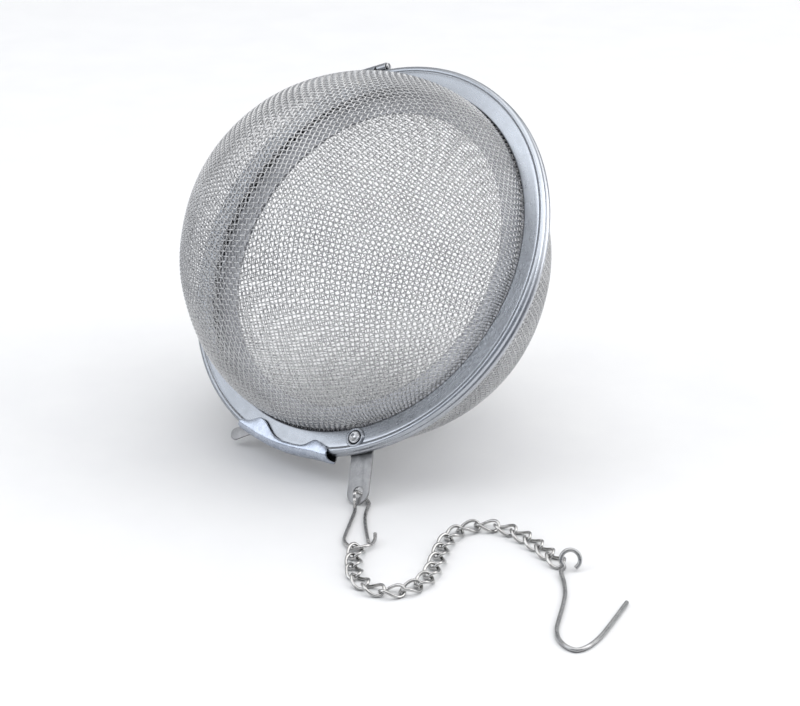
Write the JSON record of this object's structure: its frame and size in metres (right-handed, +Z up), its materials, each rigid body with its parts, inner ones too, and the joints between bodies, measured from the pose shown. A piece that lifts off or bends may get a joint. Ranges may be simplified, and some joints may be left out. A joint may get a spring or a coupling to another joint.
{
  "type": "tea infuser",
  "caption": "Ball-shaped tea infuser of two hinged woven-mesh domes, held shut by a lever latch, on a curb chain with a hook for the cup's rim.",
  "frame": {"origin": "on the table, under the middle of the whole object's outline as it lies: ball at +Y, chain and hook towards -Y", "axes": "+Z up from the table, +Y from the hook's end to the ball along the longest side, +X to the right seen from the chain's side"},
  "size_m": [0.083, 0.1246, 0.0728],
  "materials": {
    "woven_mesh": "fine woven stainless wire, bright",
    "rim_steel": "brushed sheet steel with a polished rolled edge",
    "latch_steel": "pressed sheet steel, polished on its edges",
    "rivet_steel": "turned steel, peened",
    "pin_steel": "drawn wire",
    "clip_wire": "drawn steel wire",
    "chain_wire": "bright nickel-plated wire",
    "hook_wire": "drawn steel wire, slightly dull"
  },
  "bodies": {
    "rear_half": {"rear_rim": "rim_steel", "rear_mesh": "woven_mesh", "hinge_pin": "pin_steel", "latch_rivet": "rivet_steel"},
    "front_half": {"front_rim": "rim_steel", "front_mesh": "woven_mesh"},
    "latch": {"latch_lever": "latch_steel"},
    "clip": {"chain_clip": "clip_wire"},
    "hook": {"mug_hook": "hook_wire"},
    "link_01": {"chain_link_01": "chain_wire"},
    "link_02": {"chain_link_02": "chain_wire"},
    "link_03": {"chain_link_03": "chain_wire"},
    "link_04": {"chain_link_04": "chain_wire"},
    "link_05": {"chain_link_05": "chain_wire"},
    "link_06": {"chain_link_06": "chain_wire"},
    "link_07": {"chain_link_07": "chain_wire"},
    "link_08": {"chain_link_08": "chain_wire"},
    "link_09": {"chain_link_09": "chain_wire"},
    "link_10": {"chain_link_10": "chain_wire"},
    "link_11": {"chain_link_11": "chain_wire"},
    "link_12": {"chain_link_12": "chain_wire"},
    "link_13": {"chain_link_13": "chain_wire"},
    "link_14": {"chain_link_14": "chain_wire"},
    "link_15": {"chain_link_15": "chain_wire"},
    "link_16": {"chain_link_16": "chain_wire"},
    "link_17": {"chain_link_17": "chain_wire"},
    "link_18": {"chain_link_18": "chain_wire"},
    "link_19": {"chain_link_19": "chain_wire"},
    "link_20": {"chain_link_20": "chain_wire"}
  },
  "joints": [
    {"name": "ball_opening", "type": "hinge", "parent": "rear_half", "child": "front_half", "pos_m": [-0.00393, 0.05654, 0.06512], "axis": [-0.8435, 0.383, -0.3766], "range_deg": [0, 110]},
    {"name": "latch_swing", "type": "hinge", "parent": "rear_half", "child": "latch", "pos_m": [-0.00611, -0.00223, 0.01023], "axis": [-0.5365, -0.5653, 0.6266], "range_deg": [0, 35]},
    {"name": "clip_swing", "type": "hinge", "parent": "latch", "child": "clip", "pos_m": [-0.00617, -0.00818, 0.002], "axis": [-0.5365, -0.5653, 0.6266], "range_deg": [-12, 45]},
    {"name": "link_bend_01", "type": "hinge", "parent": "clip", "child": "link_01", "pos_m": [-0.00602, -0.02708, 0.00087], "axis": [0, 0, 1], "range_deg": [-30, 30]},
    {"name": "link_lift_02", "type": "hinge", "parent": "link_01", "child": "link_02", "pos_m": [-0.00647, -0.03069, 0.00087], "axis": [-0.9992, 0.0398, 0], "range_deg": [-25, 25]},
    {"name": "link_bend_03", "type": "hinge", "parent": "link_02", "child": "link_03", "pos_m": [-0.00662, -0.03433, 0.00087], "axis": [0, 0, -1], "range_deg": [-30, 30]},
    {"name": "link_lift_04", "type": "hinge", "parent": "link_03", "child": "link_04", "pos_m": [-0.00612, -0.03794, 0.00087], "axis": [0.8949, 0.4462, 0], "range_deg": [-25, 25]},
    {"name": "link_bend_05", "type": "hinge", "parent": "link_04", "child": "link_05", "pos_m": [-0.0045, -0.04119, 0.00087], "axis": [0, 0, 1], "range_deg": [-30, 30]},
    {"name": "link_lift_06", "type": "hinge", "parent": "link_05", "child": "link_06", "pos_m": [-0.00147, -0.04322, 0.00087], "axis": [0.0526, -0.9986, 0], "range_deg": [-25, 25]},
    {"name": "link_bend_07", "type": "hinge", "parent": "link_06", "child": "link_07", "pos_m": [0.00216, -0.04303, 0.00087], "axis": [0, 0, -1], "range_deg": [-30, 30]},
    {"name": "link_lift_08", "type": "hinge", "parent": "link_07", "child": "link_08", "pos_m": [0.00508, -0.04085, 0.00087], "axis": [0.8666, -0.4991, 0], "range_deg": [-25, 25]},
    {"name": "link_bend_09", "type": "hinge", "parent": "link_08", "child": "link_09", "pos_m": [0.00689, -0.03769, 0.00087], "axis": [0, 0, 1], "range_deg": [-30, 30]},
    {"name": "link_lift_10", "type": "hinge", "parent": "link_09", "child": "link_10", "pos_m": [0.00797, -0.03421, 0.00087], "axis": [0.9787, -0.2055, 0], "range_deg": [-25, 25]},
    {"name": "link_bend_11", "type": "hinge", "parent": "link_10", "child": "link_11", "pos_m": [0.00872, -0.03065, 0.00087], "axis": [0, 0, -1], "range_deg": [-30, 30]},
    {"name": "link_lift_12", "type": "hinge", "parent": "link_11", "child": "link_12", "pos_m": [0.00949, -0.02709, 0.00087], "axis": [-0.9458, 0.3248, 0], "range_deg": [-25, 25]},
    {"name": "link_bend_13", "type": "hinge", "parent": "link_12", "child": "link_13", "pos_m": [0.01067, -0.02365, 0.00087], "axis": [0, 0, 1], "range_deg": [-30, 30]},
    {"name": "link_lift_14", "type": "hinge", "parent": "link_13", "child": "link_14", "pos_m": [0.01276, -0.02067, 0.00087], "axis": [-0.4585, 0.8887, 0], "range_deg": [-25, 25]},
    {"name": "link_bend_15", "type": "hinge", "parent": "link_14", "child": "link_15", "pos_m": [0.01599, -0.019, 0.00087], "axis": [0, 0, -1], "range_deg": [-30, 30]},
    {"name": "link_lift_16", "type": "hinge", "parent": "link_15", "child": "link_16", "pos_m": [0.01962, -0.01938, 0.00087], "axis": [-0.5482, -0.8364, 0], "range_deg": [-25, 25]},
    {"name": "link_bend_17", "type": "hinge", "parent": "link_16", "child": "link_17", "pos_m": [0.02266, -0.02138, 0.00087], "axis": [0, 0, 1], "range_deg": [-30, 30]},
    {"name": "link_lift_18", "type": "hinge", "parent": "link_17", "child": "link_18", "pos_m": [0.02503, -0.02414, 0.00087], "axis": [-0.8406, -0.5417, 0], "range_deg": [-25, 25]},
    {"name": "link_bend_19", "type": "hinge", "parent": "link_18", "child": "link_19", "pos_m": [0.027, -0.0272, 0.00087], "axis": [0, 0, -1], "range_deg": [-30, 30]},
    {"name": "link_lift_20", "type": "hinge", "parent": "link_19", "child": "link_20", "pos_m": [0.02879, -0.03037, 0.00087], "axis": [0.8832, 0.469, 0], "range_deg": [-25, 25]},
    {"name": "hook_swing", "type": "hinge", "parent": "link_20", "child": "hook", "pos_m": [0.03049, -0.03359, 0.00087], "axis": [0, 0, -1], "range_deg": [-30, 35]}
  ]
}
